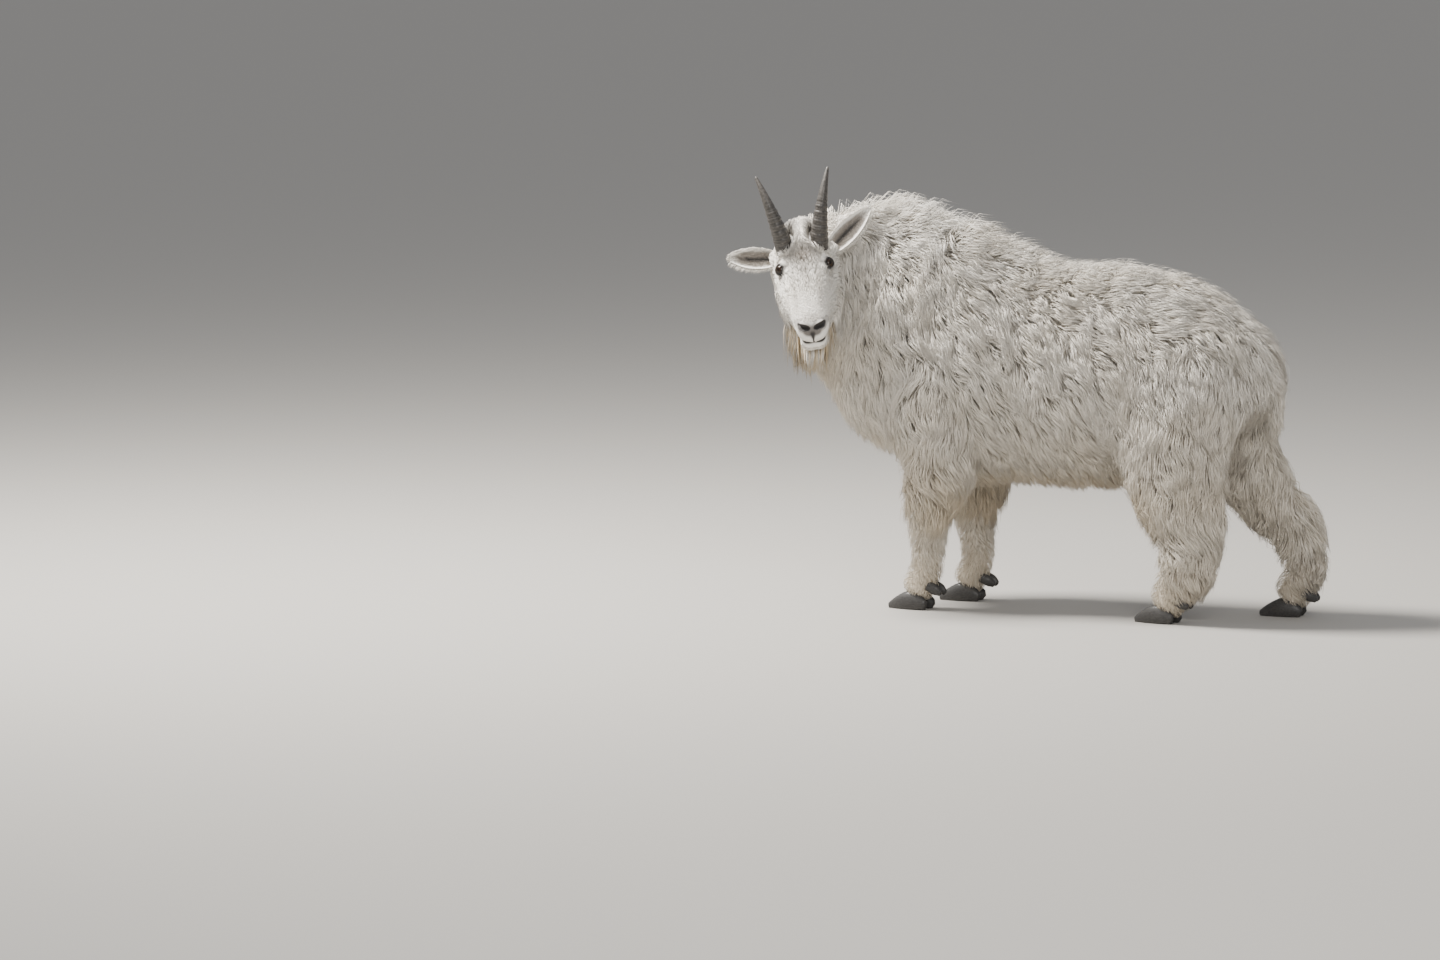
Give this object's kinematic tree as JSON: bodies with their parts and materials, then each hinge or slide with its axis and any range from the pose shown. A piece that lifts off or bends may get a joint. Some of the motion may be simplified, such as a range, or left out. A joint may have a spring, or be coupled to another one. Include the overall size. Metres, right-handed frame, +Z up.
{
  "type": "mountain goat model",
  "caption": "Still life-size model of a standing mountain goat in a long shaggy coat, its head turned back over the left shoulder.",
  "frame": {"origin": "on the floor under the middle of the animal's bounding box", "axes": "+Z up; the body faces -X and its left side faces -Y; the head is turned to the left"},
  "size_m": [1.49, 0.5836, 1.1123],
  "materials": {
    "coat": "long, soft, off-white hair",
    "horn": "dark grey-brown, ringed near the base",
    "hoof": "dark grey horn, scuffed",
    "eye": "wet, dark brown"
  },
  "bodies": {
    "root": {"eye_left": "eye", "horn_left": "horn", "ear_left": "coat", "eye_right": "eye", "horn_right": "horn", "ear_right": "coat", "claw_front_left_inner": "hoof", "dewclaw_front_left_inner": "hoof", "claw_front_left_outer": "hoof", "dewclaw_front_left_outer": "hoof", "claw_front_right_inner": "hoof", "dewclaw_front_right_inner": "hoof", "claw_front_right_outer": "hoof", "dewclaw_front_right_outer": "hoof", "claw_hind_left_inner": "hoof", "dewclaw_hind_left_inner": "hoof", "claw_hind_left_outer": "hoof", "dewclaw_hind_left_outer": "hoof", "claw_hind_right_inner": "hoof", "dewclaw_hind_right_inner": "hoof", "claw_hind_right_outer": "hoof", "dewclaw_hind_right_outer": "hoof", "head": "coat", "neck": "coat", "leg_front_left": "coat", "leg_front_right": "coat", "leg_hind_left": "coat", "leg_hind_right": "coat", "tail": "coat", "torso": "coat"}
  },
  "joints": []
}
